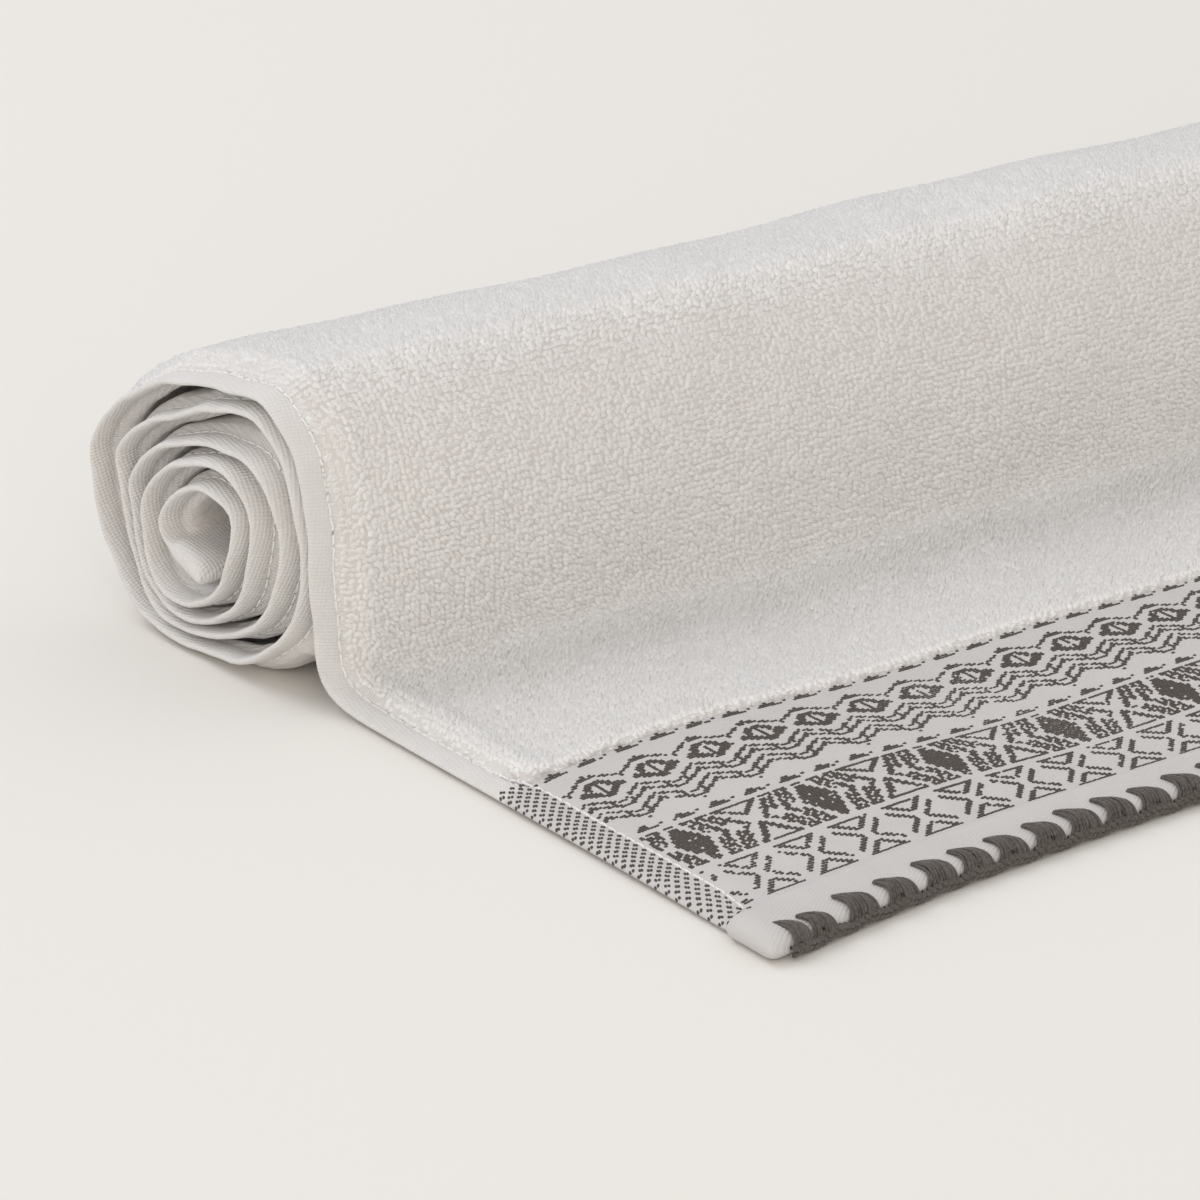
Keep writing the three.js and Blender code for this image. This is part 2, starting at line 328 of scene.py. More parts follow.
def make_piece(name, spots, faces, looks):
    """A smooth mesh piece of the towel that rides on its one body and nowhere dips below the floor."""
    mesh = bpy.data.meshes.new(name)
    spots = spots.reshape(-1, 3)
    spots[:, 2] = np.maximum(spots[:, 2], 0)
    mesh.from_pydata(spots.tolist(), [], faces.tolist())
    for look in looks:
        mesh.materials.append(look)
    mesh.polygons.foreach_set("use_smooth", np.ones(len(mesh.polygons), bool))
    piece = bpy.data.objects.new(name, mesh)
    bpy.context.scene.collection.objects.link(piece)
    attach(piece, "root")
    return piece


def set_weave_map(piece, along, across):
    """A UV map in metres, from one value of each a vertex, so that a weave has its real size."""
    mesh = piece.data
    corners = np.zeros(len(mesh.loops), np.int32)
    mesh.loops.foreach_get("vertex_index", corners)
    chart = np.stack([across, along], -1)[corners] * MM
    mesh.uv_layers.new(name="weave").data.foreach_set("uv", chart.astype(np.float32).ravel())


# Materials

def paint(hex_colour):
    """Linear RGBA of an sRGB hex colour."""
    parts = [int(hex_colour[i:i + 2], 16) / 255 for i in (1, 3, 5)]
    return [p / 12.92 if p <= 0.04045 else ((p + 0.055) / 1.055) ** 2.4 for p in parts] + [1.0]


def add(tree, kind, inputs, **settings):
    """Adds one node with its settings. An input is a value or another node's output."""
    node = tree.nodes.new(kind)
    for name, value in settings.items():
        setattr(node, name, value)
    for name, value in inputs.items():
        if isinstance(value, bpy.types.NodeSocket):
            tree.links.new(value, node.inputs[name])
        else:
            node.inputs[name].default_value = value
    return node


def start_material(name):
    """A new material with its tree, its shader and the node that gives places on the object."""
    material = bpy.data.materials.new(name)
    material.use_nodes = True
    tree = material.node_tree
    shader = tree.nodes["Principled BSDF"]
    place = add(tree, "ShaderNodeTexCoord", {})
    return material, tree, shader, place


def wave_scale(pitch):
    """Scale at which a wave texture repeats every pitch millimetres of a place in metres."""
    return math.tau / (20 * pitch * MM)


def cotton_finish(shader, roughness, sheen):
    """Bleached or dyed cotton: dull, with the soft glow that fine fibre ends give at a slant."""
    shader.inputs["Roughness"].default_value = roughness
    shader.inputs["IOR"].default_value = 1.53
    shader.inputs["Specular IOR Level"].default_value = 0.25
    shader.inputs["Sheen Weight"].default_value = sheen
    shader.inputs["Sheen Roughness"].default_value = 0.45


# The pile's many small faces keep light among them and the flat weaves do not, so each has its own white
PILE_WHITE = "#f6f6f5"
PILE_SHADE = "#edebe9"
HEM_WHITE = "#e7e5e3"
HEM_SHADE = "#dbd9d6"
BAND_WHITE = "#d0cecc"
BAND_SHADE = "#c6c4c2"
# The ground's two whites are darker than the loops' to paint the shade that falls among the loops
SHADED_GROUND_LIGHT = "#dedbd8"
SHADED_GROUND_DARK = "#d2cecb"


def two_tones(tree, place, pitch, light, dark, chart="Object"):
    """Slightly uneven whiteness or dye, from threads that lie and take dye unevenly."""
    cloud = add(tree, "ShaderNodeTexNoise",
                {"Vector": place.outputs[chart], "Scale": 1 / (pitch * MM), "Detail": 3.0})
    return add(tree, "ShaderNodeMix", {"Factor": cloud.outputs["Fac"], "A": paint(dark), "B": paint(light)},
               data_type="RGBA")


def looped_yarn():
    """Soft-spun bleached cotton yarn of the pile: round loops whose fine fibres blur each edge.
    A real fibre is some 0.02 mm across, so its fuzz is drawn 0.25 mm apart to show."""
    material, tree, shader, place = start_material("looped_cotton_yarn")
    tone = two_tones(tree, place, 4.0, PILE_WHITE, PILE_SHADE)
    tree.links.new(tone.outputs["Result"], shader.inputs["Base Color"])
    fibre = add(tree, "ShaderNodeTexNoise",
                {"Vector": place.outputs["Object"], "Scale": 1 / (0.25 * MM), "Detail": 2.0})
    bump = add(tree, "ShaderNodeBump",
               {"Height": fibre.outputs["Fac"], "Strength": 0.5, "Distance": 0.12 * MM})
    tree.links.new(bump.outputs["Normal"], shader.inputs["Normal"])
    cotton_finish(shader, 0.9, 0.15)
    return material


def looped_ground():
    """Terry seen deep in the roll and under the loops: low, close loops in rows, in a darker white that
    paints the shade falling among the loops.
    """
    material, tree, shader, place = start_material("looped_cotton_ground_painted_shade")
    tone = two_tones(tree, place, 5.0, SHADED_GROUND_LIGHT, SHADED_GROUND_DARK, "UV")
    loops = add(tree, "ShaderNodeTexVoronoi",
                {"Vector": place.outputs["UV"], "Scale": 1 / (1.2 * MM), "Randomness": 0.9},
                feature="SMOOTH_F1")
    tree.links.new(tone.outputs["Result"], shader.inputs["Base Color"])
    bump = add(tree, "ShaderNodeBump",
               {"Height": loops.outputs["Distance"], "Strength": 0.5, "Distance": 0.5 * MM}, invert=True)
    tree.links.new(bump.outputs["Normal"], shader.inputs["Normal"])
    cotton_finish(shader, 0.9, 0.15)
    return material


HEM_SLANT = math.radians(12)


def ribbed_hem():
    """Flat-woven cotton hem, folded twice: close ribs across it, broken into soft beads by the warp."""
    material, tree, shader, place = start_material("ribbed_cotton_hem")
    tone = two_tones(tree, place, 6.0, HEM_WHITE, HEM_SHADE, "UV")
    tree.links.new(tone.outputs["Result"], shader.inputs["Base Color"])
    turned = add(tree, "ShaderNodeMapping", {"Vector": place.outputs["UV"], "Rotation": (0, 0, HEM_SLANT)})
    ribs = add(tree, "ShaderNodeTexWave",
               {"Vector": turned.outputs["Vector"], "Scale": wave_scale(0.72), "Distortion": 1.0,
                "Detail": 2.0, "Detail Scale": 0.4}, bands_direction="Y")
    warp = add(tree, "ShaderNodeTexWave",
               {"Vector": turned.outputs["Vector"], "Scale": wave_scale(0.9), "Distortion": 1.5,
                "Detail": 2.0, "Detail Scale": 0.4}, bands_direction="X")
    both = add(tree, "ShaderNodeMath", {0: warp.outputs["Fac"], 1: 0.6, 2: ribs.outputs["Fac"]},
               operation="MULTIPLY_ADD")
    bump = add(tree, "ShaderNodeBump",
               {"Height": both.outputs["Value"], "Strength": 0.6, "Distance": 0.26 * MM})
    tree.links.new(bump.outputs["Normal"], shader.inputs["Normal"])
    cotton_finish(shader, 0.85, 0.1)
    return material


TWILL_SLANT = math.radians(28)


def twill_weave():
    """Flat-woven cotton of the band and the end hem: fine slanted twill lines over the picks."""
    material, tree, shader, place = start_material("twill_woven_cotton")
    tone = two_tones(tree, place, 7.0, BAND_WHITE, BAND_SHADE, "UV")
    tree.links.new(tone.outputs["Result"], shader.inputs["Base Color"])
    turned = add(tree, "ShaderNodeMapping",
                 {"Vector": place.outputs["UV"], "Rotation": (0, 0, -TWILL_SLANT)})
    lines = add(tree, "ShaderNodeTexWave",
                {"Vector": turned.outputs["Vector"], "Scale": wave_scale(0.68), "Distortion": 0.6,
                 "Detail": 1.0, "Detail Scale": 0.4}, bands_direction="Y")
    picks = add(tree, "ShaderNodeTexWave",
                {"Vector": place.outputs["UV"], "Scale": wave_scale(0.73), "Distortion": 0.5,
                 "Detail": 1.0, "Detail Scale": 0.4}, bands_direction="X")
    both = add(tree, "ShaderNodeMath", {0: picks.outputs["Fac"], 1: 0.35, 2: lines.outputs["Fac"]},
               operation="MULTIPLY_ADD")
    bump = add(tree, "ShaderNodeBump",
               {"Height": both.outputs["Value"], "Strength": 0.4, "Distance": 0.2 * MM})
    tree.links.new(bump.outputs["Normal"], shader.inputs["Normal"])
    cotton_finish(shader, 0.85, 0.1)
    return material


def dyed_yarn(name, light, dark, roughness):
    """Charcoal-dyed cotton yarn: fibres catch light along it, and the dye is a little uneven; on the edging
    its two tones lie far apart and also paint highlights on the strands and shade between them.
    Its fibres are drawn 0.3 mm apart, far coarser than real ones, so that they show."""
    material, tree, shader, place = start_material(name)
    tone = two_tones(tree, place, 0.6, light, dark)
    tree.links.new(tone.outputs["Result"], shader.inputs["Base Color"])
    fibre = add(tree, "ShaderNodeTexNoise",
                {"Vector": place.outputs["Object"], "Scale": 1 / (0.3 * MM), "Detail": 3.0})
    bump = add(tree, "ShaderNodeBump",
               {"Height": fibre.outputs["Fac"], "Strength": 0.6, "Distance": 0.15 * MM})
    tree.links.new(bump.outputs["Normal"], shader.inputs["Normal"])
    cotton_finish(shader, roughness, 0.2)
    return material


LOOPED_YARN = looped_yarn()
SHADED_LOOPED_GROUND = looped_ground()
RIBBED_HEM = ribbed_hem()
TWILL = twill_weave()
FLOAT_YARN = dyed_yarn("charcoal_float_yarn", "#625a54", "#352f2b", 0.8)
# The edging yarn's two tones lie far apart: its charcoal dye is uneven, and the spread also paints
# highlights on its strands and shade between them
CROCHET_YARN_PAINTED_LIGHT = dyed_yarn("charcoal_crochet_yarn_painted_light", "#756e69", "#2e2a27", 0.75)


# The cloth itself

def cloth_stations():
    """Places across the cloth for the skin's columns, close together on its side hems."""
    near = np.array([0, 0.12, 0.4, 0.8, 1.3, 2, 2.9, 3.8, 4.4, 4.9, 5.4, 6, 6.8, 7.5, 8.0, 8.6, 9.4,
                     10.5, 13, 17])
    middle = np.linspace(24, WIDTH - 24, 46)
    return np.r_[near, middle, (WIDTH - near)[::-1]]


def cloth_rows():
    """Runs of the skin's rows, close together on the end hems and where the band rises to the pile."""
    nose = np.array([0, 0.08, 0.3, 0.7, 1.3, 2.3, 4, 6, 8.5, 10.5, 11.4, 12, 12.6, 13.2, 14.5, 16,
                     17.5, 19, 21])
    band = np.arange(24, BAND_END - 8, 4)
    step = np.arange(BAND_END - 7, BAND_END + 3, 0.8)
    turns = np.arange(BAND_END + 4, LENGTH - 21, 2.6)
    return np.r_[nose, band, step, turns, (LENGTH - nose)[::-1]]


def build_cloth():
    """One closed sheet whose two faces meet in its rounded edges."""
    xs = cloth_stations()
    runs = cloth_rows()
    run, x = np.meshgrid(runs, xs, indexing="ij")
    inward = np.minimum(x, WIDTH - x)
    woven_run = run + bow(run, inward)
    under_loops = (smoothstep(LOOPS_FROM, LOOPS_FROM + 2, woven_run)
                   * smoothstep(LOOPS_TO, LOOPS_TO - 4, run)
                   * smoothstep(LOOPS_IN - 1, LOOPS_IN + 1, inward))
    outer = cloth_point(run, x, 1, -LOOP_SINK * under_loops)
    inner = cloth_point(run, x, -1)
    count = run.size
    top = np.arange(count).reshape(run.shape)
    low = top.copy()
    low[1:-1, 1:-1] = count + np.arange((len(runs) - 2) * (len(xs) - 2)).reshape(len(runs) - 2, -1)
    spots = np.concatenate([outer.reshape(-1, 3), inner[1:-1, 1:-1].reshape(-1, 3)])
    quads = []
    for grid, order in ((top, 1), (low, -1)):
        corners = [grid[:-1, :-1], grid[:-1, 1:], grid[1:, 1:], grid[1:, :-1]][::order]
        quads.append(np.stack(corners, -1).reshape(-1, 4))
    # The pile part of the skin takes the ground material, whose darker white paints the shade among the
    # loops
    cloth = make_piece("towel_cloth_skin", spots, np.concatenate(quads),
                       [SHADED_LOOPED_GROUND, RIBBED_HEM, TWILL])
    flat_run = np.r_[run.ravel(), run[1:-1, 1:-1].ravel()]
    flat_x = np.r_[x.ravel(), x[1:-1, 1:-1].ravel()]
    set_weave_map(cloth, flat_run, flat_x)
    mid_run = (runs[:-1] + runs[1:])[:, None] / 2
    mid_x = (xs[:-1] + xs[1:])[None] / 2
    mid_in = np.minimum(mid_x, WIDTH - mid_x)
    from_end = np.minimum(mid_run, LENGTH - mid_run)
    woven = mid_run + bow(mid_run, mid_in) < BAND_END - 1
    hemmed = (mid_in < SIDE_HEM_WIDTH + 1.2) | (from_end < END_HEM_DEPTH)
    look = np.where(woven, 2, np.where(hemmed, 1, 0))
    cloth.data.polygons.foreach_set("material_index", np.tile(look.ravel(), 2).astype(np.int32))
    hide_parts("towel_cloth")
    return cloth


cloth = build_cloth()


# The pile

def frames_on_cloth(run, x, lift):
    """Points on the outward face with unit directions across the cloth, along it and out of it."""
    step = 0.4
    spot = cloth_point(run, x, 1, lift)
    across = cloth_point(run, x + step, 1, lift) - cloth_point(run, x - step, 1, lift)
    along = cloth_point(run + step, x, 1, lift) - cloth_point(run - step, x, 1, lift)
    across /= np.linalg.norm(across, axis=-1, keepdims=True)
    along /= np.linalg.norm(along, axis=-1, keepdims=True)
    out = np.cross(across, along)
    out /= np.linalg.norm(out, axis=-1, keepdims=True)
    return spot, across, along, out


# Outline of a short rounded bar of yarn, along and across it as shares of its half size, then its ridge
BAR_RING = ((-1, 0), (-0.45, -1), (0.55, -0.9), (1, 0), (0.45, 1), (-0.55, 0.9))
BAR_RIDGE = ((-0.42, 0), (0.42, 0))
BAR_FACES = np.array([(0, 1, 6), (1, 2, 6), (2, 7, 6), (2, 3, 7),
                      (3, 4, 7), (4, 5, 7), (5, 6, 7), (5, 0, 6)])


def bars(spot, forward, sideways, out, long, wide, low, high, bend=0.0):
    """Vertices and faces of raised bars of yarn: low is the height of their foot, high of their ridge."""
    corners = []
    for k, (a, b) in enumerate(BAR_RING + BAR_RIDGE):
        rise = low if k < len(BAR_RING) else high[k - len(BAR_RING)]
        aside = b * wide / 2 + bend * (1 - a * a)
        corners.append(spot + (forward * a * long / 2 + sideways * aside + out * rise) * MM)
    faces = BAR_FACES[None] + len(corners) * np.arange(len(spot))[:, None, None]
    return np.stack(corners, 1).reshape(-1, 3), faces.reshape(-1, 3)


def build_loops(name, run_from, run_to):
    """Loops of pile yarn in jittered rows: each shows as a short bent grain that lies its own way."""
    rows = np.arange(run_from, run_to, LOOP_PITCH)
    xs = np.arange(LOOPS_IN, WIDTH - LOOPS_IN, LOOP_PITCH)
    run, x = (grid.ravel() for grid in np.meshgrid(rows, xs, indexing="ij"))
    count = len(run)
    ragged = np.where(run < LOOPS_FROM + 1, 0.6, 0.3)
    run = run + rng.uniform(-1, 1, count) * ragged * LOOP_PITCH
    x = x + rng.uniform(-0.3, 0.3, count) * LOOP_PITCH
    run = run - bow(run, np.minimum(x, WIDTH - x))
    spot, across, along, out = frames_on_cloth(run, x, -LOOP_SINK)
    combed = 0.9 * np.sin(x / 19 + run / 31) + 0.7 * np.sin(x / 7.3 - run / 11)
    turn = (math.pi / 2 + combed + rng.normal(0, 0.7, count))[:, None]
    forward = across * np.cos(turn) + along * np.sin(turn)
    sideways = np.cross(out, forward)
    high = LOOP_SINK + rng.uniform(-0.3, 0.25, (2, count, 1))
    spots, faces = bars(spot, forward, sideways, out, LOOP_LONG * rng.uniform(0.8, 1.25, (count, 1)),
                        LOOP_WIDE * rng.uniform(0.85, 1.15, (count, 1)), -0.35, high,
                        rng.uniform(-0.22, 0.22, (count, 1)))
    return make_piece(name, spots, faces, [LOOPED_YARN])


LOOP_PIECES = ["pile_loops_flat", "pile_loops_front", "pile_loops_top", "pile_loops_back"]
loop_bounds = np.linspace(LOOPS_FROM, LOOPS_TO, len(LOOP_PIECES) + 1)
pile = [build_loops(name, low, high)
        for name, low, high in zip(LOOP_PIECES, loop_bounds, loop_bounds[1:])]


# The band's pattern: each # is one float of dark yarn over the white ground

TRIANGLES = [
    "....#.......",
    "..#####...#.",
    ".########...",
]
DASHES = [
    "...##.......",
    "..#####..#..",
    ".#######....",
]
DIAMONDS = [
    ".........#........",
    ".......#####......",
    "......#######.....",
    "....##.......##...",
    "...##.........##..",
    ".##....#####....##",
    "#.....#######.....",
    "#....###.#.###....",
    ".....##..#..##....",
    "...####..#..####..",
    "..####...#...####.",
    "..#####..#..#####.",
    "....####.#.####...",
    ".....#########....",
    "#......#####......",
    ".##.....###.....##",
    "..##...........##.",
    "#...##.......##...",
    "##...##.....##...#",
    ".##...##...##...##",
    "...##.#.###.#.##..",
    "....###.....###...",
    "#.....##...##.....",
    ".##....#####....##",
    "..##...........##.",
    "#...##.......##...",
    "##...##.....##...#",
    ".##...##...##...##",
    "...##.#.###.#.##..",
    "....###.....###...",
    "......##...##.....",
    ".......#####......",
    "..................",
    ".........#........",
]
# Half of the lozenge's repeat, from its middle to the middle of the next gap
LOZENGE_HALF = [
    "##..####.####.########",
    "....##.#.##.#..##.....",
    "##...#.##.#.##..##....",
    "##...####.####...##...",
    "###..##.#..#.##...##..",
    "###..#.###.##.#....##.",
    "####..##.#..#.###...##",
    "####..#.##..####.....#",
    "#####.#..##.##.##.....",
    "#####..#.##..#..##....",
    "#####....##.....##....",
    "######....##.....##...",
    "######....##......#...",
    "#####....##.....##...#",
    "#####..#.##..#..#...##",
    "#####..#.#..####....##",
    "####..####..#.##...##.",
    "####..#.##..###....##.",
    "####..##.#.##.##..##..",
    "###..#.##..#.##...##..",
    "###..####.####...##...",
    "##...#..#.#.##...##...",
    "##...##.#.##.#..##....",
    "##..##.#.##.#..##.....",
    "#...####.####..#######",
]
# The upper half of the crossed triangles' repeat, likewise from its middle
CROSS_QUARTER = [
    "#######...",
    "....##....",
    "...##.....",
    "..##...#..",
    ".##...##..",
    "##...##...",
    "....##....",
    "...##.....",
    "..##......",
    "..#.......",
]


def opened(half):
    """A whole repeat from its half, with its middle column first."""
    return [row + row[-2:0:-1] for row in half]


# Each row of the band: its chart, the y of its top row, the x of its chart's first column, and how far
# its columns and rows lie apart
BAND_ROWS = [
    (TRIANGLES, -89.15, 73.55, 0.762, 0.72),
    (DIAMONDS, -94.35, 64.15, 0.753, 0.713),
    (DASHES, -120.8, 70.7, 0.72, 0.72),
    (opened(LOZENGE_HALF), -124.45, 77.9, 0.7345, 0.671),
    (opened(CROSS_QUARTER + CROSS_QUARTER[-2::-1]), -142.9, 58.1, 0.733, 0.705),
]
MISSING = 0.035  # share of the floats that the weaver's yarn skips


def charted_floats():
    """Run and x of each dark float of the band."""
    spots = []
    for chart, top, first, apart, row_apart in BAND_ROWS:
        marks = np.array([[mark == "#" for mark in row] for row in chart])
        column = np.arange(-round(first / apart), round(WIDTH / apart))
        x = first + column * apart
        for k, row in enumerate(marks):
            run = top - k * row_apart - FRONT_EDGE
            clear = hem_width(run) + 0.5
            dark = row[column % len(row)] & (x > clear) & (x < WIDTH - clear)
            dark = dark & (rng.uniform(size=len(x)) > MISSING)
            lying = run - bow(run, np.minimum(x, WIDTH - x))
            spots.append(np.stack([lying[dark], x[dark]], 1))
    return np.concatenate(spots)


DOT_APART = 2.6  # along the hem
DOT_COLUMN = 1.15  # across it
DOT_COLUMNS = 8
DOTS_IN = 0.3  # from the hem's fold to the first column
DOTS_FROM = 11.5
DOTS_TO = 79.5
STRAND_ALONG = 0.14  # a dot's two strands lie this far on each side of its middle
STRAND_ACROSS = 0.2


def hem_dots():
    """Run and x of the strands of the dark dots that the band's reverse shows on its side hems."""
    run, column = np.meshgrid(np.arange(DOTS_FROM, DOTS_TO, DOT_APART), np.arange(DOT_COLUMNS),
                              indexing="ij")
    x = DOTS_IN + column * DOT_COLUMN
    run = run + DOT_APART * 0.5 * (column % 2)
    strands = [np.stack([run.ravel() - STRAND_ALONG * side, x.ravel() + STRAND_ACROSS * side], 1)
               for side in (-1, 1)]
    near = np.concatenate(strands)
    near = near[near[:, 1] < hem_width(near[:, 0]) - 1.0]
    return np.concatenate([near, np.stack([near[:, 0], WIDTH - near[:, 1]], 1)])


FLOAT_LONG = 1.08
FLOAT_WIDE = 0.8
FLOAT_HIGH = 0.2
FLOAT_FOOT = -0.05
FLOAT_LIFT = 0.05  # clears the coarser faces of the skin in its ripples
FLOAT_SLANT = math.radians(15)
DOT_LONG = 1.2
DOT_WIDE = 0.6
DOT_SLANT = math.radians(58)


def build_floats(name, places, long, wide, lie):
    """Short raised floats of dark yarn, lying at a slant to the weft."""
    run, x = (places + rng.uniform(-0.08, 0.08, places.shape)).T
    spot, across, along, out = frames_on_cloth(run, x, FLOAT_LIFT)
    slant = lie + rng.uniform(-0.15, 0.15, len(run))[:, None]
    long = long * rng.uniform(0.88, 1.12, (len(run), 1))
    forward = across * np.cos(slant) + along * np.sin(slant)
    spots, faces = bars(spot, forward, np.cross(out, forward), out, long, wide, FLOAT_FOOT,
                        (FLOAT_HIGH, FLOAT_HIGH))
    return make_piece(name, spots, faces, [FLOAT_YARN])


floats = build_floats("band_pattern_floats", charted_floats(), FLOAT_LONG, FLOAT_WIDE, FLOAT_SLANT)
dots = build_floats("band_reverse_dots", hem_dots(), DOT_LONG, DOT_WIDE, DOT_SLANT)


# Seams

STITCH = 2.6
STITCH_GAP = 0.3
STITCH_LIFT = (-0.12, 0.04, 0.1, 0.04, -0.12)  # along a stitch, over the cloth's face
STITCHES_FROM = 15.0
THREAD = 0.5


def tubes(lines, radius, sides):
    """Vertices and faces of round yarns along lines of points, an array of yarns by points by xyz."""
    count, steps, _ = lines.shape
    along = np.gradient(lines, axis=1)
    along /= np.linalg.norm(along, axis=-1, keepdims=True)
    guide = np.array((0.13, 0.31, 0.94))
    first = np.cross(along, guide)
    first /= np.linalg.norm(first, axis=-1, keepdims=True)
    second = np.cross(along, first)
    angle = np.arange(sides) * math.tau / sides
    ring = (first[:, :, None] * np.cos(angle)[:, None] + second[:, :, None] * np.sin(angle)[:, None])
    spots = lines[:, :, None] + ring * np.broadcast_to(radius, (count, steps))[:, :, None, None]
    grid = np.arange(count * steps * sides).reshape(count, steps, sides)
    turned = np.roll(grid, -1, axis=2)
    quads = np.stack([grid[:, :-1], grid[:, 1:], turned[:, 1:], turned[:, :-1]], -1)
    return spots.reshape(-1, 3), quads.reshape(-1, 4)


def build_stitches():
    """Lockstitches along both side hems, sunk at their ends."""
    starts = np.arange(STITCHES_FROM, LENGTH - STITCH, STITCH + STITCH_GAP)
    run = starts[:, None] + np.linspace(0, STITCH, len(STITCH_LIFT))
    seam = hem_width(run) - SEAM_IN
    lines = []
    for x in (seam, WIDTH - seam):
        wander = rng.uniform(-0.12, 0.12, run.shape)
        lines.append(cloth_point(run, x + wander, 1, np.array(STITCH_LIFT)))
    spots, faces = tubes(np.concatenate(lines), THREAD / 2 * MM, 5)
    return make_piece("side_hem_stitches", spots, faces, [LOOPED_YARN])


stitches = build_stitches()


# The crocheted edging

SHELL_PITCH = 9.23
FIRST_TIPS = (5.5, 11.3, 21.6, 32.0)  # the shells that start the row stand less evenly
SHELL_TIPS = np.r_[FIRST_TIPS, np.arange(42.3, WIDTH - 2, SHELL_PITCH)]
FIRST_WIDTHS = (0.62, 0.85)  # and the first two are narrower
SHELL_TIP_AT = 0.57  # of the pitch, from the left end of the shell's foot
SHELL_WIDTH = 0.84  # of the pitch
SHELL_REACH = 8.0
HOOK = 1.5  # how far a tip leans to the left
STRANDS = 11
STRAND_THICK = (0.42, 0.28)  # half its thickness, at the foot and at the tip
NOSE = END_HEM / 2
YARN_ROUND = NOSE + 0.7  # radius at which the yarn's length is measured round the hem
# Left and right outline of a shell, as shares of the pitch, at shares of its reach
LEFT_SIDE = [(0, 0.02), (0.2, 0.12), (0.4, 0.2), (0.6, 0.26), (0.8, 0.31), (1, 0.36)]
RIGHT_SIDE = [(0, 1), (0.25, 0.97), (0.5, 0.88), (0.7, 0.76), (0.88, 0.58), (1, 0.41)]
CHAIN_FROM = 3.5
CHAIN_STITCH = 1.45
CHAIN_LONG = 2.15
CHAIN_THICK = 1.05


def edge_point(x, reach, lift):
    """A point round the end hem's nose: reach is the way from its foremost line up and back over it."""
    x, reach, lift = np.broadcast_arrays(x, reach, lift)
    radius = NOSE + lift
    turn = np.clip(reach / YARN_ROUND, -1.3, math.pi / 2)
    past = np.maximum(reach - YARN_ROUND * math.pi / 2, 0)
    pull = np.interp(x, ALONG_X, PULL_ALONG)
    y = FRONT_EDGE + NOSE - radius * np.cos(turn) + past - pull
    z = NOSE - 0.1 + radius * np.sin(turn)
    return (np.stack([x + PATH[0][5], y, z], -1) + ORIGIN) * MM


def build_shells():
    """Each shell is a fan of strands from the chain back over the hem to a rounded tip."""
    share = np.linspace(0, 1, 11)
    left = np.interp(share, *zip(*LEFT_SIDE))
    right = np.interp(share, *zip(*RIGHT_SIDE))
    foot, tip_end = STRAND_THICK
    lines = []
    radii = []
    for shell, tip in enumerate(SHELL_TIPS):
        narrow = SHELL_WIDTH * (FIRST_WIDTHS[shell] if shell < len(FIRST_WIDTHS) else 1)
        start = tip - SHELL_TIP_AT * SHELL_PITCH * narrow
        reach = SHELL_REACH * rng.uniform(0.92, 1.08)
        lean = rng.uniform(-0.4, 0.3)
        for k in range(STRANDS):
            place = k / (STRANDS - 1)
            place += 0.035 * math.sin(2 * math.tau * place) + rng.uniform(-0.015, 0.015)
            x = start + SHELL_PITCH * narrow * (left + (right - left) * place) + lean * share
            x = x + HOOK * (0.5 - share ** 3)
            up = -0.4 + (reach + 0.4) * (1 - 0.04 * place) * share
            body = 0.45 + 0.6 * np.sin(np.pi * np.clip(share * 0.95 + 0.05, 0, 1)) ** 0.7
            body = body * (0.8 + 0.35 * math.sin(math.pi * np.clip(place, 0, 1)))
            lines.append(edge_point(x, up, body + rng.uniform(-0.18, 0.18)))
            radii.append((foot + (tip_end - foot) * share) * rng.uniform(0.8, 1.15) * MM)
    spots, faces = tubes(np.stack(lines), np.stack(radii), 5)
    return make_piece("crochet_shells", spots, faces, [CROCHET_YARN_PAINTED_LIGHT])


def build_chain():
    """Two rows of slanted stitches, leaning opposite ways, so that they read as one braided chain."""
    steps = np.linspace(-1, 1, 6)
    lines = []
    for reach, slant, shift in ((0.25, -1, 0), (-0.95, 1, 0.5)):
        middle = np.arange(CHAIN_FROM + shift * CHAIN_STITCH, WIDTH - 1, CHAIN_STITCH)[:, None]
        middle = middle + rng.uniform(-0.12, 0.12, middle.shape)
        foot = 0.35 * np.sin(math.tau * (middle - SHELL_TIPS[2]) / SHELL_PITCH)
        x = middle + steps * CHAIN_LONG / 2
        lift = 0.62 + 0.3 * (1 - steps ** 2) + 0.12 * foot
        lines.append(edge_point(x, reach + foot + slant * steps * 0.5, lift))
    radius = CHAIN_THICK / 2 * (0.55 + 0.45 * np.sqrt(1 - (0.85 * steps) ** 2)) * MM
    spots, faces = tubes(np.concatenate(lines), radius, 6)
    return make_piece("crochet_chain", spots, faces, [CROCHET_YARN_PAINTED_LIGHT])


shells = build_shells()
chain = build_chain()
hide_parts("scalloped_edging")


# The room: a pale floor, soft light and the camera at the photograph's angle

FLOOR_HALF = 6.0  # metres


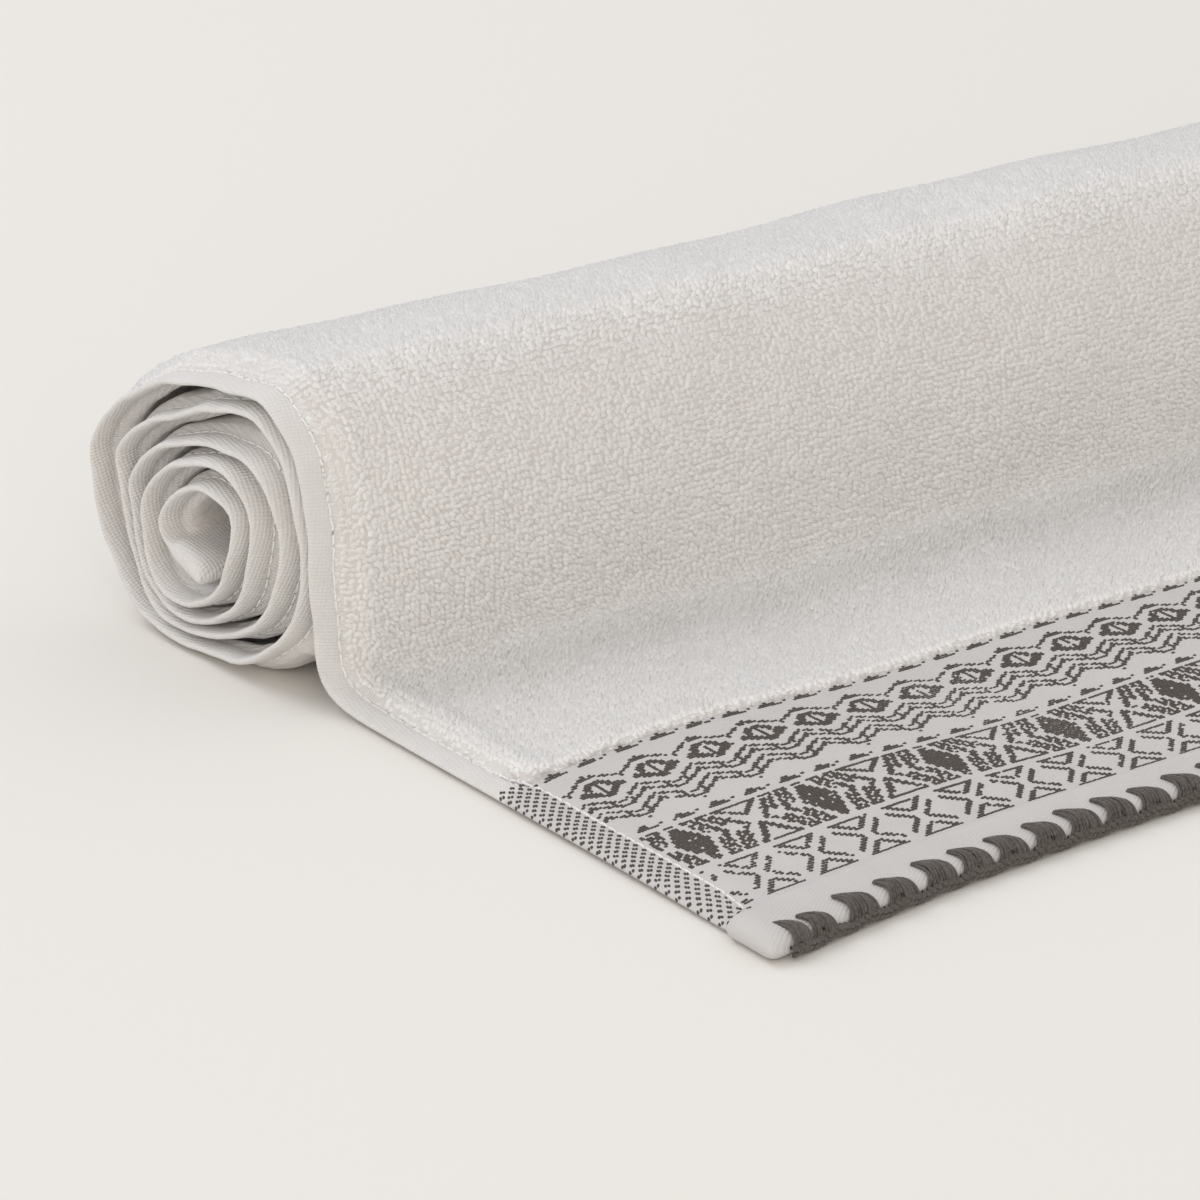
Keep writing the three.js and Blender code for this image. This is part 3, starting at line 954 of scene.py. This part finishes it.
def build_floor():
    """A plain painted studio floor: matt and nearly even, so that it shows only the towel's shadow."""
    mesh = bpy.data.meshes.new("floor")
    corners = [(x * FLOOR_HALF, y * FLOOR_HALF, 0) for x, y in ((-1, -1), (1, -1), (1, 1), (-1, 1))]
    mesh.from_pydata(corners, [], [(0, 1, 2, 3)])
    floor = bpy.data.objects.new("floor", mesh)
    bpy.context.scene.collection.objects.link(floor)
    material, tree, shader, place = start_material("pale_studio_floor")
    tone = two_tones(tree, place, 900.0, "#ebe9e4", "#eae7e2")
    tree.links.new(tone.outputs["Result"], shader.inputs["Base Color"])
    shader.inputs["Roughness"].default_value = 0.9
    shader.inputs["Specular IOR Level"].default_value = 0.1
    mesh.materials.append(material)


def build_light(name, place, size, power, colour):
    """A round soft light, in metres and watts, aimed at the middle of the towel."""
    data = bpy.data.lights.new(name, "AREA")
    data.shape = "DISK"
    data.size = size
    data.energy = power
    data.color = paint(colour)[:3]
    lamp = bpy.data.objects.new(name, data)
    lamp.location = place
    lamp.rotation_mode = "QUATERNION"
    lamp.rotation_quaternion = (-Vector(place)).to_track_quat("-Z", "Y")
    bpy.context.scene.collection.objects.link(lamp)


CAMERA_AT = (-755.9, -749.3, 400.2)
CAMERA_HEADING = 36.5  # degrees from +Y towards +X
CAMERA_DOWN = 22.0


def build_camera():
    data = bpy.data.cameras.new("camera")
    data.lens = 150
    data.sensor_width = 36
    camera = bpy.data.objects.new("camera", data)
    camera.location = Vector(CAMERA_AT) * MM
    camera.rotation_euler = (math.radians(90 - CAMERA_DOWN), 0, math.radians(-CAMERA_HEADING))
    bpy.context.scene.collection.objects.link(camera)
    bpy.context.scene.camera = camera


build_floor()
build_camera()
build_light("window_wall", (-0.9, 1.4, 2.0), 1.9, 17, "#f6f8ff")
build_light("near_fill", (-1.5, -1.8, 0.85), 1.9, 13, "#fff0df")
world = bpy.data.worlds.new("studio")
world.use_nodes = True
world.node_tree.nodes["Background"].inputs["Color"].default_value = paint("#fefdfd")
world.node_tree.nodes["Background"].inputs["Strength"].default_value = 0.77
bpy.context.scene.world = world
bpy.context.scene.view_settings.view_transform = "Standard"
